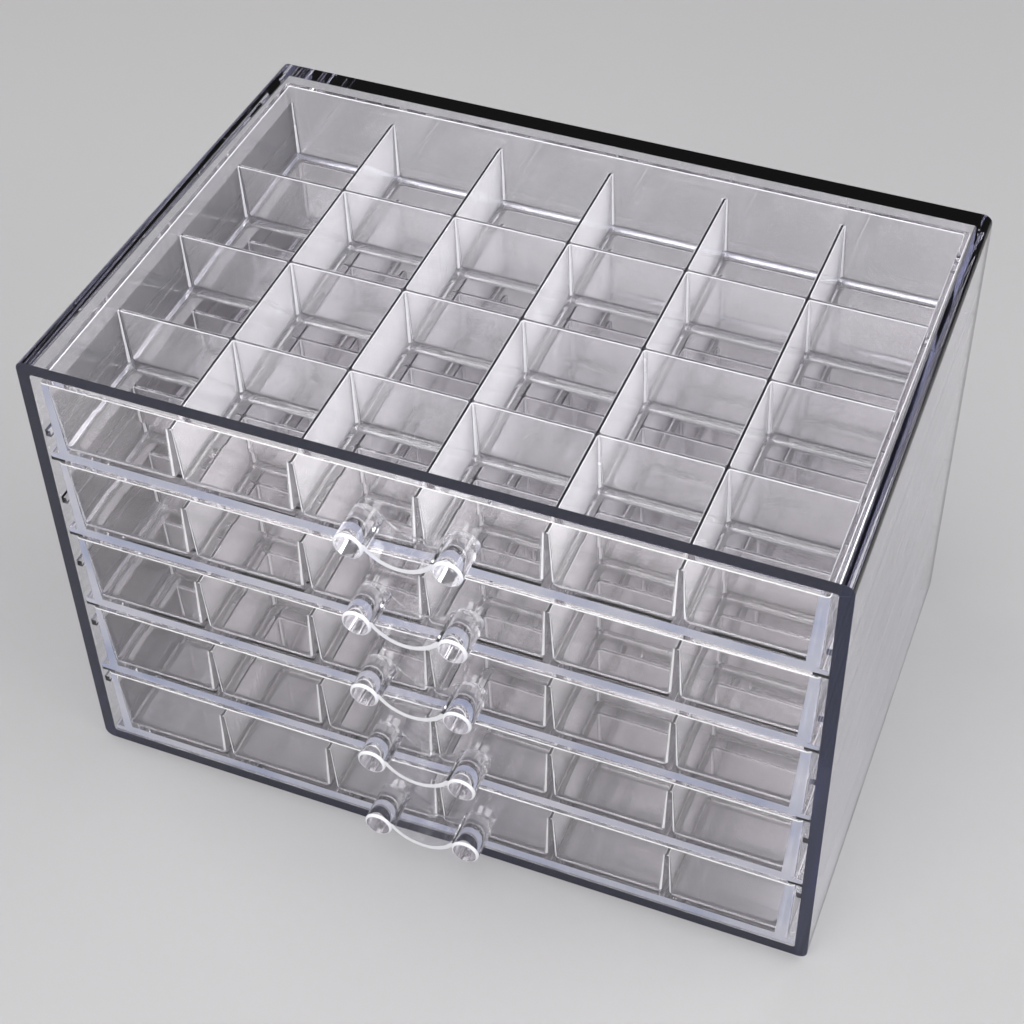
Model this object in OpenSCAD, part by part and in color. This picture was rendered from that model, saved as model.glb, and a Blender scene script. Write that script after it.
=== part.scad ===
// Clear storage box with five sliding drawers, each drawer divided into small compartments.
// Millimetres, +Z up. The origin is the centre of the case's underside and the drawers open towards -Y.

/* [Case] */
// Outside width at the front
case_w = 240; // [200:1:300]
// Outside depth, front to back
case_d = 160; // [130:1:210]
// Outside height at the front
case_h = 164; // [140:1:220]
// Thickness of the sides, the roof and the floor
case_wall = 4; // [3:0.1:5]
// Thickness of the back
case_back = 4; // [2:0.1:6]
// Radius of the four long edges outside
case_edge_r = 3; // [1:0.1:3.5]
// Radius of the four long edges inside
case_inner_r = 1; // [0.5:0.1:1.5]
// How far each side draws in from the front to the back
case_side_draft = 3; // [1.5:0.1:4]
// How far the roof falls from the front to the back
case_roof_draft = 2; // [0.5:0.1:3]

/* [Rails and ribs on the case walls] */
// Height of a carrying rail
rail_h = 1.4; // [0.8:0.1:1.6]
// How far a carrying rail stands out from the wall at the back
rail_w = 1.6; // [1.4:0.1:2.2]
// Height of a guide rib
rib_h = 2.4; // [1.5:0.1:3]
// Height of the top guide rib above the base of its drawer
rib_lift = 7.5; // [6:0.1:9]
// How much further up each lower guide rib sits against its drawer
rib_step = 4; // [3:0.1:4.2]
// Set-back of the front ends of the rails and ribs
rail_setback = 1; // [0.5:0.1:5]
// How deep the rails and ribs are rooted in the wall
rail_root = 1; // [0.5:0.1:1.2]

/* [Fits] */
// Gap between a drawer's rim and the case wall at the front, each side
side_gap = 2.2; // [2:0.1:2.6]
// Gap between a drawer's rim and the case wall at the back, each side
side_gap_back = 1; // [0.9:0.1:1.4]
// Gap between a drawer's flange and the case wall, each side
flange_gap = 0.5; // [0.3:0.1:0.8]
// Gap between a guide rib and the drawer's rim
rib_gap = 0.5; // [0.3:0.1:0.8]
// Running gap between a flange and the rail or floor below it
run_gap = 0.3; // [0.2:0.05:0.5]
// Clear height between one drawer's rim and the base of the next
deck_gap = 2; // [2:0.1:3]
// Clear height between the top drawer's rim and the roof at the drawer's back
head_gap = 0.8; // [0.5:0.1:3]
// Clear depth between a drawer and the back of the case
rear_gap = 2.5; // [0.5:0.1:4]
// Set-back of the drawer fronts from the front of the case
front_setback = 0.5; // [0:0.1:2]
// Gap all round a handle's spigot in its socket
spigot_gap = 0.05; // [0.02:0.01:0.15]

/* [Drawer] */
// Compartments across the drawer
columns = 6; // [3:1:8]
// Compartments from front to back
rows = 4; // [2:1:6]
// Thickness of the floor
floor_t = 2.2; // [1.2:0.1:3]
// Thickness of the side and back walls at the rim
wall_top = 1.8; // [1.4:0.1:2.2]
// Thickness of the front wall at the rim
front_top = 2.6; // [2.2:0.1:3.2]
// How much thicker the walls are at the floor than at the rim
wall_gain = 0.7; // [0.3:0.1:1.2]
// How far each outer side leans in from rim to base
drawer_lean = 0.6; // [0.2:0.1:1]
// Thickness of a divider at its top
divider_top = 1.2; // [0.8:0.1:1.8]
// Thickness of a divider at the floor
divider_base = 2.4; // [2:0.1:3.2]
// How far the dividers' tops lie below the rim
divider_drop = 6; // [2:0.5:10]
// Radius along the bottom edges of a compartment
floor_r = 2; // [1:0.1:3]
// Thickness of the runner flange along each side of the base
flange_t = 1.8; // [1.2:0.1:2.2]

/* [Handle] */
// Diameter of the two posts
post_d = 9; // [7:0.1:11]
// Length of the posts in front of the drawer
post_len = 12.8; // [8:0.2:18]
// Distance between the posts, centre to centre
post_spacing = 29; // [22:0.2:34]
// Height of the posts' centres above the drawer's base
post_z = 12.1; // [10:0.1:16]
// Radius round the front ends of the posts
post_round = 0.8; // [0.2:0.1:1.2]
// Thickness of the web between the posts
web_t = 1.5; // [1:0.1:2.4]
// How far the web sags below the posts' centres
web_sag = 4; // [3:0.1:7]
// Height above the posts' centres at which the web meets the posts
web_rise = 1.2; // [0:0.1:2]
// Diameter of the spigot behind each post
spigot_d = 5; // [3:0.1:5.5]
// Depth of the spigot's socket in the drawer front
socket_depth = 1.8; // [1:0.1:2]

/* [Hidden] */
$fn = 64;
drawer_count = 5;
eps = 0.1;
bend_steps = 4;
clear_plastic = [0.86, 0.88, 0.95, 0.35];

inner_w = case_w - 2 * case_wall;
inner_h = case_h - 2 * case_wall;
front_y = -case_d / 2;
inner_back_y = case_d / 2 - case_back;
side_turn = atan(case_side_draft / case_d);
roof_turn = atan(case_roof_draft / case_d);

// Distance of a side wall's inner face from the middle, and fall of the roof, at a place along the depth
function wall_x(y) = inner_w / 2 - case_side_draft * (y - front_y) / case_d;
function roof_fall(y) = case_roof_draft * (y - front_y) / case_d;

drawer_front_y = front_y + front_setback;
drawer_back_y = inner_back_y - rear_gap;
drawer_d = drawer_back_y - drawer_front_y;

// Each drawer stands one level above the next, all with the same height
level_pitch = (inner_h - roof_fall(drawer_back_y) - run_gap - head_gap + deck_gap) / drawer_count;
drawer_h = level_pitch - deck_gap;

// The drawer narrows towards the back, a little less than the case does
rim_w = 2 * (wall_x(drawer_front_y) - side_gap);
drawer_taper = rim_w / 2 - (wall_x(drawer_back_y) - side_gap_back);
drawer_turn = atan(drawer_taper / drawer_d);

// Thickness that a wall gains from the rim down to the floor and down to the dividers' tops
depth_in = drawer_h - floor_t;
divider_h = depth_in - divider_drop;
side_gain = wall_gain + drawer_lean * depth_in / drawer_h;
gain_share = divider_drop / depth_in;
side_at_dividers = wall_top + side_gain * gain_share;
ends_at_dividers = front_top + wall_top + 2 * wall_gain * gain_share;

// Spacing of the dividers, and the middle of their rows
column_pitch = (rim_w - drawer_taper - 2 * side_at_dividers + divider_top) / columns;
row_pitch = (drawer_d - ends_at_dividers + divider_top) / rows;
rows_y = drawer_front_y + front_top + wall_gain * gain_share - divider_top / 2 + rows * row_pitch / 2;

rail_x = wall_x(inner_back_y) - rail_w;
rail_front_y = front_y + rail_setback;

web_span = post_spacing - post_d;
web_h = web_sag + web_rise;
web_r = (web_span * web_span / 4 + web_h * web_h) / (2 * web_h);

// Height of a drawer's base, counted from the top drawer, level 1
function base_z(level) = case_wall + run_gap + (drawer_count - level) * level_pitch;

// Height of the underside of the guide rib beside a drawer
function rib_z(level) = base_z(level) + rib_lift + (level - 1) * rib_step;

// Solid of a front view (x across, z up), from y0 back to y1
module along_y(y0, y1) {
    translate([0, y1, 0]) rotate([90, 0, 0]) linear_extrude(y1 - y0) children();
}

// Solid of a side view (y along, z up), from x0 across to x1
module along_x(x0, x1) {
    translate([x0, 0, 0]) rotate([90, 0, 90]) linear_extrude(x1 - x0) children();
}

// What is drawn for the left half, put on the left (side -1) or mirrored to the right (side 1)
module on_side(side) {
    mirror([side > 0 ? 1 : 0, 0, 0]) children();
}

// Everything to the right of and above a round corner at the origin
module corner_section(r, reach) {
    translate([r, 0]) square(reach);
    translate([0, r]) square(reach);
    translate([r, r]) circle(r);
}

// Block with round long edges that narrows and falls towards the back as the case does.
// w and h are its size at the front of the case, and y0 and y1 its ends.
module drafted_block(w, h, r, y0, y1) {
    reach = w + h;
    intersection() {
        translate([-w, y0, -eps]) cube([2 * w, y1 - y0, h + 2 * eps]);
        for_corner(-1, w, 0, 0) corner_section(r, reach);
        for_corner(1, w, 0, 0) corner_section(r, reach);
        for_corner(-1, w, h, -roof_turn) mirror([0, 1, 0]) corner_section(r, reach);
        for_corner(1, w, h, -roof_turn) mirror([0, 1, 0]) corner_section(r, reach);
    }
}

// Carries a corner's section back along one long edge of a block, starting well in front of it
module for_corner(side, w, z, tilt) {
    on_side(side) translate([-w / 2, front_y, z]) rotate([0, 0, -side_turn]) rotate([tilt, 0, 0])
        along_y(-case_wall, 2 * case_d) children();
}

module case() {
    color(clear_plastic) {
        difference() {
            drafted_block(case_w, case_h, case_edge_r, front_y, case_d / 2);
            translate([0, 0, case_wall])
                drafted_block(inner_w, inner_h, case_inner_r, front_y - eps, inner_back_y);
        }
        for (side = [-1, 1]) on_side(side) case_runners();
    }
}

// The left wall's carrying rails, under every drawer but the lowest, and its guide ribs, one by each drawer.
// The rails' inner edges run straight back and the ribs' follow the drawers, so all fade into the wall.
module case_runners() {
    length = inner_back_y + eps - rail_front_y;
    for (level = [1 : drawer_count - 1])
        wall_strip(-rail_x, 0, base_z(level) - run_gap - rail_h, rail_h, length);
    for (level = [1 : drawer_count])
        wall_strip(-rim_w / 2 - rib_gap, drawer_turn, rib_z(level), rib_h, length);
}

// A strip along the left wall, its inner edge at x and turned in towards the back, rooted in wall and back
module wall_strip(x, turn, z, h, length) {
    difference() {
        translate([x, rail_front_y, z]) rotate([0, 0, -turn])
            translate([-case_w / 2, 0, 0]) cube([case_w / 2, length, h]);
        for_corner(-1, inner_w + 2 * rail_root, 0, 0) translate([-case_w, 0]) square([case_w, case_h]);
    }
}

// Points of an arc of radius floor_r about a centre that lies floor_r above the floor
function bend(centre, from, to) = [for (i = [0 : bend_steps]) let (t = from + (to - from) * i / bend_steps)
    [centre + floor_r * cos(t), floor_r + floor_r * sin(t)]];

// How far the centre of that arc lies from the foot of a wall that leans away from it
function bend_offset(lean) = floor_r * (1 - sin(lean)) / cos(lean);

// Section of the space inside an outer wall whose outer face is at 0 at the rim
module inside_wall(rim_t, gain, reach) {
    lean = atan(gain / depth_in);
    top_t = rim_t - tan(lean) * eps;
    arc = rim_t + gain + bend_offset(lean);
    translate([0, floor_t])
        polygon(concat([[reach, depth_in + eps], [top_t, depth_in + eps]],
                       bend(arc, 180 + lean, 270), [[reach, 0]]));
}

// Section of one divider on the floor, with round feet
module divider_section() {
    lean = atan((divider_base - divider_top) / 2 / divider_h);
    foot = divider_base / 2 + bend_offset(lean);
    polygon(concat([[-foot, -eps]], bend(-foot, 270, 360 - lean),
                   [[-divider_top / 2, divider_h], [divider_top / 2, divider_h]],
                   bend(foot, 180 + lean, 270), [[foot, -eps]]));
}

// Section of the space between and above the dividers that part n compartments
module between_dividers(n, pitch, reach) {
    translate([0, floor_t]) difference() {
        translate([-reach, 0]) square([2 * reach, drawer_h]);
        for (i = [1 : n - 1]) translate([(i - n / 2) * pitch, 0]) divider_section();
    }
}

// Carries a section, drawn inwards from the rim's outer face, back along one side of the drawer
module drawer_side(side) {
    on_side(side) translate([-rim_w / 2, drawer_front_y, 0]) rotate([0, 0, -drawer_turn])
        along_y(-case_wall, case_d) children();
}

module drawer(level) {
    color(clear_plastic) translate([0, 0, base_z(level)]) difference() {
        drawer_block();
        intersection() {
            along_y(drawer_front_y, drawer_back_y) between_dividers(columns, column_pitch, case_w);
            for_drawer_width() translate([rows_y, 0]) between_dividers(rows, row_pitch, case_d);
            for_drawer_width() translate([drawer_front_y, 0])
                inside_wall(front_top, wall_gain, case_d);
            for_drawer_width() translate([drawer_back_y, 0]) mirror([1, 0, 0])
                inside_wall(wall_top, wall_gain, case_d);
            drawer_side(-1) inside_wall(wall_top, side_gain, case_w);
            drawer_side(1) inside_wall(wall_top, side_gain, case_w);
        }
        for (side = [-1, 1]) translate([side * post_spacing / 2, drawer_front_y, post_z])
            rotate([-90, 0, 0]) translate([0, 0, -eps]) cylinder(d = spigot_d, h = socket_depth + eps);
    }
}

// Carries a side view across more than the drawer's width
module for_drawer_width() {
    along_x(-case_w / 2, case_w / 2) children();
}

// The drawer before it is hollowed: a block with leaning sides on a flange that follows the case's walls
module drawer_block() {
    intersection() {
        translate([-case_w / 2, drawer_front_y, 0]) cube([case_w, drawer_d, drawer_h]);
        drawer_side(-1) side_outline();
        drawer_side(1) side_outline();
    }
    flange_front = wall_x(drawer_front_y) - flange_gap;
    flange_back = wall_x(drawer_back_y) - flange_gap;
    linear_extrude(flange_t) polygon([[-flange_front, drawer_front_y], [flange_front, drawer_front_y],
                                      [flange_back, drawer_back_y], [-flange_back, drawer_back_y]]);
}

// Everything inside the drawer's leaning outer side, which is at 0 at the rim
module side_outline() {
    polygon([[drawer_lean, 0], [case_w, 0], [case_w, drawer_h], [0, drawer_h]]);
}

module handle(level) {
    color(clear_plastic) translate([0, drawer_front_y, base_z(level) + post_z]) {
        for (side = [-1, 1]) translate([side * post_spacing / 2, 0, 0]) rotate([90, 0, 0]) post();
        along_y(-post_len + post_round, 0) web_section();
    }
}

// A round post with a rounded front end and a spigot behind, turned about z, with the drawer front at z = 0
module post() {
    spigot_len = socket_depth - spigot_gap;
    post_r = post_d / 2;
    rotate_extrude() {
        translate([0, -spigot_len]) square([spigot_d / 2 - spigot_gap, spigot_len + eps]);
        square([post_r, post_len - post_round]);
        square([post_r - post_round, post_len]);
        translate([post_r - post_round, post_len - post_round]) circle(post_round);
    }
}

// Section of the web: the part of a ring, sagging below the posts' centres, that lies between the posts
module web_section() {
    intersection() {
        translate([0, web_r - web_sag]) difference() {
            circle(web_r + web_t / 2);
            circle(web_r - web_t / 2);
        }
        translate([-web_span / 2 - post_d / 4, -web_sag - web_t])
            square([web_span + post_d / 2, web_h + web_t * 3 / 2]);
    }
}

case();
for (level = [1 : drawer_count]) {
    drawer(level);
    handle(level);
}
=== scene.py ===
import math
import bmesh
import bpy
import numpy as np
from mathutils import Matrix, Vector


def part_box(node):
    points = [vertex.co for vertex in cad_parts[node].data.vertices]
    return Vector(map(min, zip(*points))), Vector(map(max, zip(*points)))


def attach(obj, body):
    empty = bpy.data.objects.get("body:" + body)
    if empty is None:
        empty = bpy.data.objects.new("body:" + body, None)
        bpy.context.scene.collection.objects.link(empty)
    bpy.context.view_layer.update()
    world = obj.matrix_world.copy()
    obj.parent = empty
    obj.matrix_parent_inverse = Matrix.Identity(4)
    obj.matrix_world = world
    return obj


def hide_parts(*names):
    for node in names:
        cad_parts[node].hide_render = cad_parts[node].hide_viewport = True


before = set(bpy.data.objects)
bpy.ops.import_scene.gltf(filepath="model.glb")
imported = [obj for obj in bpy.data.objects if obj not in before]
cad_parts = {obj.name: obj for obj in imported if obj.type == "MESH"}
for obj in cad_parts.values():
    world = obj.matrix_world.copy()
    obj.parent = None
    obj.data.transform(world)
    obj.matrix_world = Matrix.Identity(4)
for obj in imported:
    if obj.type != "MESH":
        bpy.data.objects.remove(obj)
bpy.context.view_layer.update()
scene = bpy.context.scene
mm = 0.001

# The case: one deep clear moulding, open at the front, with rails and guide ribs on its side walls.
# It is injection moulded in styrene, so it narrows to the back, and long paths through it look bluish.
styrene_ior = 1.57
pane_shade = (0.928, 0.926, 0.931, 1)
wave_height = 0.02 * mm
join_within = 0.002 * mm
face_reach = 0.01 * mm
case_round, case_round_from = 0.35 * mm, 35
case_tints = (0.985, 0.987, 0.992, 1), (0.965, 0.962, 0.975, 1)
# The case's front faces get a painted navy shade: dark tints stand in for the dark that light led along the
# walls shows there.
case_front_painted_shade_tints = (0.15, 0.18, 0.42, 1), (0.08, 0.11, 0.31, 1)
# The case's rounds: part moulded haze, part painted highlight, whitish tints for the light led to the edges.
case_edge_haze_and_highlight_tints = (0.86, 0.86, 0.9, 1), (0.6, 0.62, 0.72, 1)
case_depth = (0.60, 0.62, 0.80, 1), 11.0
case_clear_slot, case_front_painted_shade_slot, case_edge_haze_and_highlight_slot = range(3)


def node_group(name, inputs, outputs):
    """An empty shader node group with named sockets, and its input and output nodes."""
    group = bpy.data.node_groups.new(name, "ShaderNodeTree")
    for label, kind in inputs:
        group.interface.new_socket(label, in_out="INPUT", socket_type=kind)
    for label, kind in outputs:
        group.interface.new_socket(label, in_out="OUTPUT", socket_type=kind)
    return group, group.nodes.new("NodeGroupInput"), group.nodes.new("NodeGroupOutput")


def moulded_finish():
    """Finish of a polished moulding: soft clouds of tint, and fine lines along the way it left the mould.

    Clouds are a broad noise. Lines are a noise that is stretched along one axis by Line Scale.
    Clouds times lines mix the two colours into Tint and the two roughnesses into Haze.
    """
    group, given, result = node_group(
        "moulded_finish",
        [("Place", "NodeSocketVector"), ("Line Scale", "NodeSocketVector"),
         ("Clear Tint", "NodeSocketColor"), ("Cloud Tint", "NodeSocketColor"),
         ("Polished", "NodeSocketFloat"), ("Hazy", "NodeSocketFloat")],
        [("Tint", "NodeSocketColor"), ("Haze", "NodeSocketFloat"), ("Waves", "NodeSocketFloat")])
    link = group.links.new
    clouds = group.nodes.new("ShaderNodeTexNoise")
    clouds.inputs["Scale"].default_value = 38.0
    clouds.inputs["Detail"].default_value = 3.0
    link(given.outputs["Place"], clouds.inputs["Vector"])
    stretch = group.nodes.new("ShaderNodeVectorMath")
    stretch.operation = "MULTIPLY"
    link(given.outputs["Place"], stretch.inputs[0])
    link(given.outputs["Line Scale"], stretch.inputs[1])
    lines = group.nodes.new("ShaderNodeTexNoise")
    lines.inputs["Scale"].default_value = 1.0
    lines.inputs["Detail"].default_value = 4.0
    link(stretch.outputs[0], lines.inputs["Vector"])
    spread = group.nodes.new("ShaderNodeMapRange")
    spread.inputs["From Min"].default_value = 0.35
    spread.inputs["From Max"].default_value = 0.7
    link(clouds.outputs[0], spread.inputs["Value"])
    both = group.nodes.new("ShaderNodeMath")
    both.operation = "MULTIPLY"
    link(spread.outputs[0], both.inputs[0])
    link(lines.outputs[0], both.inputs[1])
    share = group.nodes.new("ShaderNodeMapRange")
    share.inputs["From Max"].default_value = 0.6
    link(both.outputs[0], share.inputs["Value"])
    tint = group.nodes.new("ShaderNodeMix")
    tint.data_type = "RGBA"
    link(share.outputs[0], tint.inputs["Factor"])
    link(given.outputs["Clear Tint"], tint.inputs["A"])
    link(given.outputs["Cloud Tint"], tint.inputs["B"])
    haze = group.nodes.new("ShaderNodeMapRange")
    link(share.outputs[0], haze.inputs["Value"])
    link(given.outputs["Polished"], haze.inputs["To Min"])
    link(given.outputs["Hazy"], haze.inputs["To Max"])
    link(tint.outputs["Result"], result.inputs["Tint"])
    link(haze.outputs[0], result.inputs["Haze"])
    link(lines.outputs[0], result.inputs["Waves"])
    return group


finish_group = moulded_finish()


def clear_plastic(name, tints, polish, line_scale, wave, clarity, depth):
    """Solid clear plastic: refracts, tints long paths, and lets light through to what it shades.

    Shadow rays pass as through a pane of the colour pane_shade. The rest sees a dielectric whose tint,
    roughness and bump come from the moulded finish: tints and polish each give its clear and its cloudy
    value. Where a caller's tints are painted shade, glow or highlight, its names say so. It is milky by
    what clarity lacks of 1. Depth is the colour and density of long paths.
    """
    material = bpy.data.materials.new(name)
    material.use_nodes = True
    nodes = material.node_tree.nodes
    link = material.node_tree.links.new
    plastic = nodes["Principled BSDF"]
    plastic.inputs["IOR"].default_value = styrene_ior
    plastic.inputs["Transmission Weight"].default_value = clarity
    place = nodes.new("ShaderNodeTexCoord")
    finish = nodes.new("ShaderNodeGroup")
    finish.node_tree = finish_group
    finish.inputs["Line Scale"].default_value = line_scale
    finish.inputs["Clear Tint"].default_value = tints[0]
    finish.inputs["Cloud Tint"].default_value = tints[1]
    finish.inputs["Polished"].default_value = polish[0]
    finish.inputs["Hazy"].default_value = polish[1]
    link(place.outputs["Object"], finish.inputs["Place"])
    link(finish.outputs["Tint"], plastic.inputs["Base Color"])
    link(finish.outputs["Haze"], plastic.inputs["Roughness"])
    bump = nodes.new("ShaderNodeBump")
    bump.inputs["Strength"].default_value = wave
    bump.inputs["Distance"].default_value = wave_height
    link(finish.outputs["Waves"], bump.inputs["Height"])
    link(bump.outputs[0], plastic.inputs["Normal"])
    path = nodes.new("ShaderNodeLightPath")
    pane = nodes.new("ShaderNodeBsdfTransparent")
    pane.inputs["Color"].default_value = pane_shade
    choose = nodes.new("ShaderNodeMixShader")
    link(path.outputs["Is Shadow Ray"], choose.inputs["Fac"])
    link(plastic.outputs[0], choose.inputs[1])
    link(pane.outputs[0], choose.inputs[2])
    link(choose.outputs[0], nodes["Material Output"].inputs["Surface"])
    inside = nodes.new("ShaderNodeVolumeAbsorption")
    inside.inputs["Color"].default_value, inside.inputs["Density"].default_value = depth
    link(inside.outputs[0], nodes["Material Output"].inputs["Volume"])
    return material


def round_edges(piece, width, segments, from_angle, slot=-1):
    """Rounds the edges that turn by more than from_angle degrees. The rounds get the material in slot."""
    edges = piece.modifiers.new("round_edges", "BEVEL")
    edges.width = width
    edges.segments = segments
    edges.limit_method = "ANGLE"
    edges.angle_limit = math.radians(from_angle)
    edges.harden_normals = False
    edges.material = slot


def even_shading(piece, keep_sharp):
    """Lets the large flat faces set the shading, so that only the rounds beside them turn the light."""
    even = piece.modifiers.new("even_shading", "WEIGHTED_NORMAL")
    even.weight = 100
    even.keep_sharp = keep_sharp


def face_places(mesh):
    """The y value of each face's centre."""
    centres = np.empty(3 * len(mesh.polygons))
    mesh.polygons.foreach_get("center", centres)
    return centres[1::3]


# Painted shade on the case's front: navy tints, and a reflection turned down below what the IOR gives.
case_front_painted_shade = clear_plastic("case_front_painted_shade", case_front_painted_shade_tints, (0.08, 0.2), (40, 40, 40), 0.2, 0.95, case_depth)
case_front_painted_shade.node_tree.nodes["Principled BSDF"].inputs["Specular IOR Level"].default_value = 0.2
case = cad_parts["case"]
case.data.materials.clear()
case.data.materials.append(clear_plastic("case_clear", case_tints, (0, 0), (4, 1, 350), 0.2, 1, case_depth))
case.data.materials.append(case_front_painted_shade)
# The rounds get a hazy, whitish material: part moulded haze, part painted highlight.
case.data.materials.append(
    clear_plastic("case_edge_haze_and_highlight", case_edge_haze_and_highlight_tints, (0.1, 0.25), (60, 60, 60), 0.2, 0.6, case_depth))
at_case_front = face_places(case.data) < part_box("case")[0][1] + face_reach
case_slots = np.where(at_case_front, case_front_painted_shade_slot, case_clear_slot).astype(np.int32)
case.data.polygons.foreach_set("material_index", case_slots)
join = case.modifiers.new("join_triangles", "WELD")
join.merge_threshold = join_within
round_edges(case, case_round, 2, case_round_from, case_edge_haze_and_highlight_slot)
even_shading(case, False)

# The drawers: five alike clear trays, each one moulding with 24 square compartments and a runner flange
# along each side of its base. The mould's deep slots for the dividers are hard to polish, so dividers and
# side walls are milky while floors and fronts are clear.
columns, rows = 6, 4
floor_t = 2.2 * mm
wall_top, front_top, wall_gain = 1.8 * mm, 2.6 * mm, 0.7 * mm
lean = 0.6 * mm
divider_top, divider_base, divider_drop = 1.2 * mm, 2.4 * mm, 6 * mm
floor_r = 2 * mm
edge_r = 0.2 * mm
corner_top_r, corner_foot_r, corner_floor_r, outer_corner_r = 0.6 * mm, 1.2 * mm, 2.2 * mm, 1.2 * mm
flange_t = 1.8 * mm
flange_reach = 1.7 * mm
end_band_top, end_band_base, end_band_h = 2.9 * mm, 3.9 * mm, 3.2 * mm
rim_taper, flange_taper = 1.67 * mm, 2.87 * mm
meet_within = 0.001 * mm
sharp_from = math.radians(40)

low, high = (np.array(corner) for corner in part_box("drawer_1"))
drawer_h = high[2] - low[2]
front_y, back_y = low[1], high[1]
flange_half = high[0]
rim_half = flange_half - flange_reach
depth_in = drawer_h - floor_t
side_gain = wall_gain + lean * depth_in / drawer_h
gain_share = divider_drop / depth_in
divider_z = drawer_h - divider_drop

# Lines at which the tiles of neighbouring compartments meet, at the height of the dividers' tops
wall_in = wall_top + side_gain * gain_share
column_pitch = (2 * rim_half - rim_taper - 2 * wall_in + divider_top) / columns
front_in = front_y + front_top + wall_gain * gain_share
back_in = back_y - wall_top - wall_gain * gain_share
row_pitch = (back_in - front_in + divider_top) / rows
x_lines = (np.arange(1, columns) - columns / 2) * column_pitch
y_lines = front_in - divider_top / 2 + np.arange(1, rows) * row_pitch
x_edges = np.concatenate([[-rim_half + wall_in], x_lines, [rim_half - wall_in]])
y_edges = np.concatenate([[front_in], y_lines, [back_in]])

quarter = np.linspace(0, math.pi / 2, 5)
corner_turn = np.arange(4)[:, None] * math.pi / 2 + quarter
to_right = np.array([True, False, False, True])
to_back = np.array([True, True, False, False])


def ring_profile():
    """Height, inset from a divider's middle, inset from an outer wall and corner radius of each ring.

    From the edge of a compartment's tile the rings cross the divider's rounded top, run down its leaning
    face, and follow a quarter round of radius floor_r on to the floor. At a wall they start on its face.
    """
    crest = quarter[::2]
    bow = quarter[1:]
    foot_z = floor_t + floor_r
    divider_lean = (divider_base - divider_top) / 2 / (divider_z - floor_t)
    wall_lean = side_gain / depth_in
    fall = divider_z - foot_z
    z = np.concatenate([[divider_z], divider_z - edge_r * (1 - np.cos(crest)), [foot_z],
                        floor_t + floor_r * (1 - np.sin(bow))])
    at_divider = np.concatenate([[0], divider_top / 2 - edge_r * (1 - np.sin(crest)),
                                 [divider_top / 2 + divider_lean * fall],
                                 divider_top / 2 + divider_lean * fall + floor_r * (1 - np.cos(bow))])
    at_wall = np.concatenate([[0], wall_lean * edge_r * (1 - np.cos(crest)), [wall_lean * fall],
                              wall_lean * fall + floor_r * (1 - np.cos(bow))])
    radius = np.concatenate([[0], corner_top_r + edge_r * (1 - np.sin(crest)), [corner_foot_r],
                             corner_foot_r + (corner_floor_r - corner_foot_r) * (1 - np.cos(bow))])
    return z, at_divider, at_wall, radius


def compartments():
    """All compartments as an array (column, row, ring, point, xyz).

    Each ring is a rectangle with round corners: a corner's centre lies one radius inside the two sides that
    meet there, and its points turn a quarter circle about it. The outermost ring has sharp corners where
    tiles meet, so neighbours share their corner points.
    """
    z, at_divider, at_wall, radius = ring_profile()
    column, row = np.arange(columns)[:, None, None], np.arange(rows)[None, :, None]
    left = np.where(column == 0, at_wall, at_divider) + x_edges[:-1][:, None, None]
    right = x_edges[1:][:, None, None] - np.where(column == columns - 1, at_wall, at_divider)
    near = np.where(row == 0, at_wall, at_divider) + y_edges[:-1][None, :, None]
    far = y_edges[1:][None, :, None] - np.where(row == rows - 1, at_wall, at_divider)
    end_column = np.where(to_right, column[..., None] == columns - 1, column[..., None] == 0)
    end_row = np.where(to_back, row[..., None] == rows - 1, row[..., None] == 0)
    first = (np.arange(len(z)) == 0)[None, None, :, None]
    r = np.where(first & end_column & end_row, corner_top_r, radius[None, None, :, None])
    centre_x = np.where(to_right, right[..., None] - r, left[..., None] + r)
    centre_y = np.where(to_back, far[..., None] - r, near[..., None] + r)
    x = centre_x[..., None] + r[..., None] * np.cos(corner_turn)
    y = centre_y[..., None] + r[..., None] * np.sin(corner_turn)
    height = np.broadcast_to(z[None, None, :, None, None], x.shape)
    return np.stack([x, y, height], axis=-1).reshape(columns, rows, len(z), -1, 3)


def wall_ring(half_x, near, far, radius, z, end_band=0):
    """One ring round the drawer: round corners, with a point where each divider's line meets a side.

    The front has a further point at each end, end_band from the corner, or at the corner's own end.
    """
    ends = half_x - max(end_band, radius)
    centre_x = np.where(to_right, half_x - radius, radius - half_x)[:, None]
    centre_y = np.where(to_back, far - radius, near + radius)[:, None]
    corners = np.stack([centre_x + radius * np.cos(corner_turn),
                        centre_y + radius * np.sin(corner_turn)], axis=-1)
    sides = [np.stack([x_lines[::-1], np.full(columns - 1, far)], axis=-1),
             np.stack([np.full(rows - 1, -half_x), y_lines[::-1]], axis=-1),
             np.stack([np.concatenate([[-ends], x_lines, [ends]]), np.full(columns + 1, near)], axis=-1),
             np.stack([np.full(rows - 1, half_x), y_lines], axis=-1)]
    ring = np.concatenate([part for pair in zip(corners, sides) for part in pair])
    return np.column_stack([ring, np.full(len(ring), z)])


def narrowed(points):
    """The drawer's taper: beyond the outermost dividers, x shrinks evenly towards the back."""
    x, y = points[..., 0], points[..., 1]
    start = x_lines[-1] + divider_base
    share = (y - front_y) / (back_y - front_y)
    shrink = 1 - rim_taper * share / (rim_half - start)
    outer = np.sign(x) * (start + (np.abs(x) - start) * shrink)
    return np.concatenate([np.where(np.abs(x) > start, outer, x)[..., None], points[..., 1:]], axis=-1)


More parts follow.
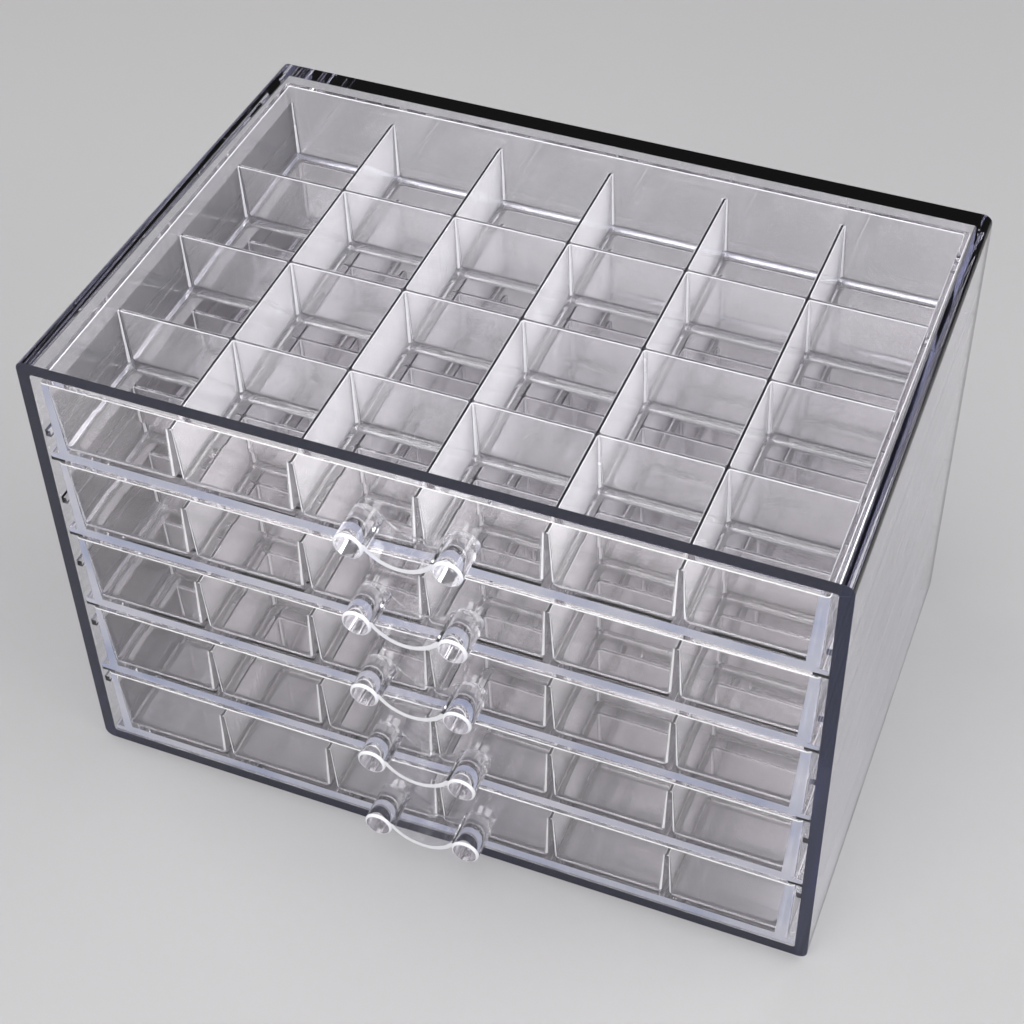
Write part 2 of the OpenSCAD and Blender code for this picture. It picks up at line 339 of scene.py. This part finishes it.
def drawer_walls():
    """Rings of the outer wall: up its inner face, over the rim, down outside and round the flange.

    The flange's rings keep the points of front and back and move those of the sides out to the flange's
    edge, which follows the case's wall.
    """
    e = edge_r
    inner = rim_half - wall_top
    rings = [wall_ring(x_edges[-1], y_edges[0], y_edges[-1], corner_top_r, divider_z),
             wall_ring(inner, front_y + front_top, back_y - wall_top, corner_top_r, drawer_h - e),
             wall_ring(inner + e, front_y + front_top - e, back_y - wall_top + e, corner_top_r + e, drawer_h),
             wall_ring(rim_half - e, front_y + e, back_y - e, outer_corner_r - e, drawer_h, end_band_top - e),
             wall_ring(rim_half, front_y, back_y, outer_corner_r, drawer_h - e, end_band_top)]
    band_half = rim_half - lean * (1 - end_band_h / drawer_h)
    rings.append(wall_ring(band_half, front_y, back_y, outer_corner_r, end_band_h, end_band_base))
    base_half = rim_half - lean * (1 - flange_t / drawer_h)
    rings.append(wall_ring(base_half, front_y, back_y, outer_corner_r, flange_t, end_band_base))
    rings = [narrowed(ring) for ring in rings]
    outline = rings[-1]
    base_ring = wall_ring(base_half, front_y, back_y, outer_corner_r, 0)
    facing_side = np.abs(base_ring[:, 0]) > base_half - outer_corner_r * 0.99
    share = (outline[:, 1] - front_y) / (back_y - front_y)
    edge_x = np.sign(outline[:, 0]) * (flange_half - flange_taper * share)
    flange_x = np.where(facing_side, edge_x, outline[:, 0])
    count = len(outline)
    rings += [np.column_stack([flange_x, outline[:, 1], np.full(count, z)]) for z in (flange_t, 0)]
    return np.stack(rings)


def ring_quads(first, rings, count):
    """Quads between successive closed rings of count points, the first of which starts at index first."""
    k, i = np.arange(rings - 1)[:, None], np.arange(count)[None, :]
    a = first + k * count + i
    b = first + k * count + (i + 1) % count
    return np.stack([a, b, b + count, a + count], axis=-1)


# Some slots paint light and shade: lit column dividers, shaded divider tops, glowing sheet ends, and
# highlights on the rounds.
clear_slot, milky_slot, rim_haze_and_highlight_slot, wall_slot, painted_glow_end_slot, fillet_slot, painted_shade_top_slot, lit_column_slot = range(8)


def compartment_slots(ring_count, point_count):
    """Material slot of each quad of the compartments' rings, as an array (column, row, band, point).

    A quad lies on the far, left, near or right side or in the corner before it. Dividers are milky, those
    between columns the whitest by painted light: a lit copy of the milky dividers, for the side light on
    their faces. Side walls are nearly clear, and front, back and floors clear. Dividers' edges and upright
    corners are hazy and white, part moulded haze and part painted highlight for light led to them, and the
    floor's rounded edges are hazier. The tops of the dividers between columns, and of the crossings, get a
    painted dark shade for the light that enters them and is led down to the floor.
    """
    column, row = np.arange(columns)[:, None, None, None], np.arange(rows)[None, :, None, None]
    band, point = np.arange(ring_count - 1)[:, None], np.arange(point_count)
    side = point // len(quarter)
    in_corner = np.isin(point % len(quarter), (1, 2))
    at_wall = np.select([side == 0, side == 1, side == 2],
                        [row == rows - 1, column == 0, row == 0], column == columns - 1)
    # Faces between columns get the lit copy, whiter by painted light; upright corners get the haze and
    # painted highlight of the rounds.
    face = np.where(at_wall, np.where(side % 2 == 0, clear_slot, wall_slot),
                    np.where(side % 2 == 0, milky_slot, lit_column_slot))
    face = np.where(in_corner, rim_haze_and_highlight_slot, face)
    on_row_top = (side % 2 == 0) & (point % len(quarter) == len(quarter) - 1)
    # Painted shade on the tops of column dividers and crossings; moulded haze and painted highlight on the
    # dividers' rounded edges.
    crest = np.where(band == 0, np.where(on_row_top, clear_slot, painted_shade_top_slot), rim_haze_and_highlight_slot)
    crest = np.where(at_wall, face, crest)
    foot_band = 3
    return np.where(band < foot_band, crest, np.where(band == foot_band, face, fillet_slot))


def wall_slots(walls):
    """Material slot of each quad of the outer wall's rings, as an array (band, point).

    The rim's rounded edges are hazy and white: part moulded haze, part painted highlight. The ends of floor
    and side walls get a painted glow, a pale lavender tint for the light that these sheets lead to them: the
    flange's edge, the front's foot, and the quads next to the front's upright corners.
    """
    inner_round, outer_round, outer_face, front_foot, flange_edge = 1, 3, 4, 5, 7
    band = np.arange(len(walls) - 1)[:, None]
    at_rim = (band == inner_round) | (band == outer_round)
    outline = walls[front_foot]
    at_front = outline[:, 1] < front_y + outer_corner_r
    at_end = at_front & (np.abs(outline[:, 0]) > x_lines[-1] + column_pitch / 2)
    at_front, at_end = (place & np.roll(place, -1) for place in (at_front, at_end))
    # Painted glow on the sheets' ends.
    at_sheet = (band == flange_edge) | (band == front_foot) & at_front | (band == outer_face) & at_end
    return np.where(at_rim, rim_haze_and_highlight_slot, np.where(at_sheet, painted_glow_end_slot, clear_slot))


def drawer_mesh(name, base_z):
    """One drawer's closed mesh: compartments with their floors, the outer wall's rings and the underside."""
    cells = narrowed(compartments())
    cells = cells.reshape(-1, *cells.shape[2:])
    walls = drawer_walls()
    points = np.concatenate([cells.reshape(-1, 3), walls.reshape(-1, 3)]) + [0, 0, base_z]
    cell_count, ring_count, point_count = cells.shape[:3]
    starts = np.arange(cell_count) * ring_count * point_count
    quads = np.concatenate([ring_quads(start, ring_count, point_count) for start in starts])
    cell_slots = compartment_slots(ring_count, point_count).ravel()
    floors = starts[:, None] + (ring_count - 1) * point_count + np.arange(point_count)
    wall_start = cell_count * ring_count * point_count
    wall_quads = ring_quads(wall_start, *walls.shape[:2]).reshape(-1, 4)
    under = wall_start + (len(walls) - 1) * walls.shape[1] + np.arange(walls.shape[1])
    faces = quads.reshape(-1, 4).tolist() + wall_quads.tolist() + floors.tolist() + [under.tolist()]
    outer_slots = wall_slots(walls).ravel()
    slots = np.concatenate([cell_slots, outer_slots, np.full(len(floors) + 1, clear_slot)]).astype(np.int32)
    mesh = bpy.data.meshes.new(name)
    mesh.from_pydata(points, [], faces)
    mesh.polygons.foreach_set("material_index", slots)
    body = bmesh.new()
    body.from_mesh(mesh)
    bmesh.ops.remove_doubles(body, verts=body.verts, dist=meet_within)
    bmesh.ops.recalc_face_normals(body, faces=body.faces)
    body.to_mesh(mesh)
    body.free()
    mesh.shade_smooth()
    mesh.set_sharp_from_angle(angle=sharp_from)
    return mesh


drawer_depth = (0.74, 0.72, 0.76, 1), 10.0
drawer_tint = (0.994, 0.987, 0.992, 1)
drawer_cloud = (0.98, 0.962, 0.972, 1)
drawer_dull = (0.92, 0.905, 0.915, 1)
drawer_streak = (1, 0.99, 0.995, 1)
# Rounds, upright corners and divider edges: part moulded haze, part painted highlight for light led to the
# edges.
rim_haze_and_highlight_white = (0.95, 0.95, 0.95, 1)
# Painted shade on the tops of the column dividers and crossings, for the light led down from them.
painted_shade_top_tints = (0.16, 0.168, 0.22, 1), (0.55, 0.56, 0.62, 1)
# Painted glow on the sheets' ends, for the light these sheets lead there.
painted_glow_end_tints = (0.80, 0.80, 0.90, 1), (0.44, 0.50, 0.72, 1)
even_lines, divider_lines, wall_lines = (60, 60, 60), (600, 600, 12), (500, 500, 14)

# Name, tints, polish, line scale, wave and clarity of each finish, in the order of the slots
drawer_finishes = [
    ("drawer_clear", (drawer_tint, drawer_cloud), (0, 0), (25, 25, 25), 0.08, 1),
    ("drawer_milky", (drawer_dull, drawer_streak), (0.04, 0.18), divider_lines, 0.5, 0.93),
    ("drawer_rim", (rim_haze_and_highlight_white, drawer_tint), (0.15, 0.3), even_lines, 0.2, 0.52),
    ("drawer_wall", (drawer_tint, drawer_cloud), (0.05, 0.2), wall_lines, 0.5, 0.92),
    ("drawer_end", painted_glow_end_tints, (0.1, 0.2), even_lines, 0.2, 0.55),
    ("drawer_fillet", (drawer_tint, drawer_cloud), (0.06, 0.2), even_lines, 0.1, 0.9),
    ("drawer_top", painted_shade_top_tints, (0, 0), even_lines, 0.2, 1),
    # The column dividers are a lit copy of the milky dividers, whiter by painted light.
    ("drawer_column", (drawer_tint, drawer_streak), (0.06, 0.2), divider_lines, 0.5, 0.84)]
drawer_plastics = [clear_plastic(*finish, drawer_depth) for finish in drawer_finishes]
for name in [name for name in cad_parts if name.startswith("drawer_")]:
    tray = bpy.data.objects.new(name + "_tray", drawer_mesh(name + "_tray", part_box(name)[0][2]))
    scene.collection.objects.link(tray)
    for plastic in drawer_plastics:
        tray.data.materials.append(plastic)
    even_shading(tray, True)
    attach(tray, name)
    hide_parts(name)

# The handles: one clear moulding on each drawer's front, two round posts with a thin curved web between them.
# They are polished bright, and their spigots are seated in the drawer's front.
handle_depth = (0.6, 0.61, 0.8, 1), 5.0
handle_tints = (0.985, 0.985, 0.99, 1), (0.95, 0.95, 0.97, 1)
# The front ends' band: part haze where the mould parts, part painted highlight.
handle_edge_haze_and_highlight_tints = (0.96, 0.96, 0.96, 1), (0.9, 0.9, 0.91, 1)
handle_round, handle_round_from = 0.45 * mm, 70
seat_depth = 0.05 * mm
edge_depth = 0.85 * mm


def handle_mesh(name, node):
    """The handle as far as its seat, without the spigots that are hidden in the drawer's front.

    The node's triangles are joined and cut by a plane just in front of the drawer. The cut end is carried
    just behind the drawer's front face, so that light passes as through a bonded joint, and is closed. The
    faces within edge_depth of the front end get the hazy, white second slot: part haze where the mould
    parts, part painted highlight for the bright ring at the front end.
    """
    body = bmesh.new()
    body.from_mesh(node.data)
    bmesh.ops.remove_doubles(body, verts=body.verts, dist=join_within)
    every = body.verts[:] + body.edges[:] + body.faces[:]
    cut = bmesh.ops.bisect_plane(body, geom=every, dist=meet_within, plane_co=(0, front_y - seat_depth, 0),
                                 plane_no=(0, 1, 0), clear_outer=True)["geom_cut"]
    seat = [part for part in cut if isinstance(part, bmesh.types.BMVert)]
    bmesh.ops.translate(body, verts=seat, vec=(0, 2 * seat_depth, 0))
    bmesh.ops.holes_fill(body, edges=[edge for edge in body.edges if edge.is_boundary])
    bmesh.ops.recalc_face_normals(body, faces=body.faces)
    mesh = bpy.data.meshes.new(name)
    body.to_mesh(mesh)
    body.free()
    places = face_places(mesh)
    behind = places - places.min()
    at_edge = (behind > face_reach) & (behind < edge_depth)
    mesh.polygons.foreach_set("material_index", at_edge.astype(np.int32))
    mesh.shade_smooth()
    mesh.set_sharp_from_angle(angle=sharp_from)
    return mesh


handle_plastics = [
    clear_plastic("handle_clear", handle_tints, (0, 0), (80, 12, 80), 0.15, 1, handle_depth),
    # The second is hazy where the mould parts and carries a painted highlight.
    clear_plastic("handle_edge_haze_and_highlight", handle_edge_haze_and_highlight_tints, (0.1, 0.25), (80, 80, 80), 0.2, 0.4, handle_depth)]
for name in [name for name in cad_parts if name.startswith("handle_")]:
    handle = bpy.data.objects.new(name + "_grip", handle_mesh(name + "_grip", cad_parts[name]))
    scene.collection.objects.link(handle)
    for plastic in handle_plastics:
        handle.data.materials.append(plastic)
    round_edges(handle, handle_round, 3, handle_round_from)
    even_shading(handle, True)
    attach(handle, name.replace("handle", "drawer"))
    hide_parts(name)

# The floor that the box stands on, plain, pale and matt.
# It lies a hair below the case, so that no two faces coincide.
floor_reach = 6.0
floor_drop = 0.2 * mm
floor_colour = (0.30, 0.297, 0.30, 1)
floor_mesh = bpy.data.meshes.new("floor")
floor_mesh.from_pydata([(-floor_reach, -floor_reach, 0), (floor_reach, -floor_reach, 0),
                        (floor_reach, floor_reach, 0), (-floor_reach, floor_reach, 0)], [], [(0, 1, 2, 3)])
floor = bpy.data.objects.new("floor", floor_mesh)
floor.location.z = -floor_drop
scene.collection.objects.link(floor)
floor_material = bpy.data.materials.new("pale_floor")
floor_material.use_nodes = True
floor_shader = floor_material.node_tree.nodes["Principled BSDF"]
floor_shader.inputs["Base Color"].default_value = floor_colour
floor_shader.inputs["Roughness"].default_value = 0.9
floor_shader.inputs["Specular IOR Level"].default_value = 0.1
floor_mesh.materials.append(floor_material)

# Plain studio light: five large square soft boxes, overhead, in front and at the sides, in a dim even
# surround. The boxes themselves stay out of the picture.
def soft_box(name, place, aim, size, power):
    """A square lamp at place that faces aim."""
    light = bpy.data.lights.new(name, "AREA")
    light.energy = power
    light.size = size
    box = bpy.data.objects.new(name, light)
    box.location = place
    box.visible_camera = False
    box.rotation_euler = (Vector(aim) - Vector(place)).to_track_quat("-Z", "Y").to_euler()
    scene.collection.objects.link(box)


soft_box("overhead", (-0.1, -0.35, 1.4), (0, 0, 0), 1.3, 21)
soft_box("front", (-0.3, -1.3, 0.7), (0, 0, 0.08), 1.0, 17)
soft_box("left", (-1.15, 0.2, 0.9), (0, 0, 0.08), 0.8, 8)
soft_box("right", (0.95, 0.5, 0.95), (0, 0, 0.08), 0.9, 13)
soft_box("front_right", (1.2, -0.3, 0.75), (0, 0, 0.08), 0.9, 13)
surround = bpy.data.worlds.new("surround")
surround.use_nodes = True
surround.node_tree.nodes["Background"].inputs["Color"].default_value = (0.54, 0.51, 0.54, 1)
surround.node_tree.nodes["Background"].inputs["Strength"].default_value = 0.18
scene.world = surround

# Light passes through many walls of clear plastic before it gets out.
scene.cycles.max_bounces = 32
scene.cycles.transmission_bounces = 32
scene.cycles.glossy_bounces = 12
scene.cycles.diffuse_bounces = 3
scene.cycles.transparent_max_bounces = 64
scene.view_settings.view_transform = "Standard"

# The camera stands where the photograph's did: to the right of the front and well above, slightly rolled.
camera_place = (0.18331, -0.43815, 0.55255)
camera_azimuth, camera_elevation, camera_roll = (math.radians(turn) for turn in (23.368, 45.341, -1.831))
focal_px, frame_px, sensor = 2140.4, 1024, 36
camera_data = bpy.data.cameras.new("camera")
camera_data.sensor_width = sensor
camera_data.lens = focal_px * sensor / frame_px
camera_data.clip_start = 0.01
camera = bpy.data.objects.new("camera", camera_data)
camera.matrix_world = (Matrix.Translation(camera_place) @ Matrix.Rotation(camera_azimuth, 4, "Z")
                       @ Matrix.Rotation(math.pi / 2 - camera_elevation, 4, "X")
                       @ Matrix.Rotation(camera_roll, 4, "Z"))
scene.collection.objects.link(camera)
scene.camera = camera
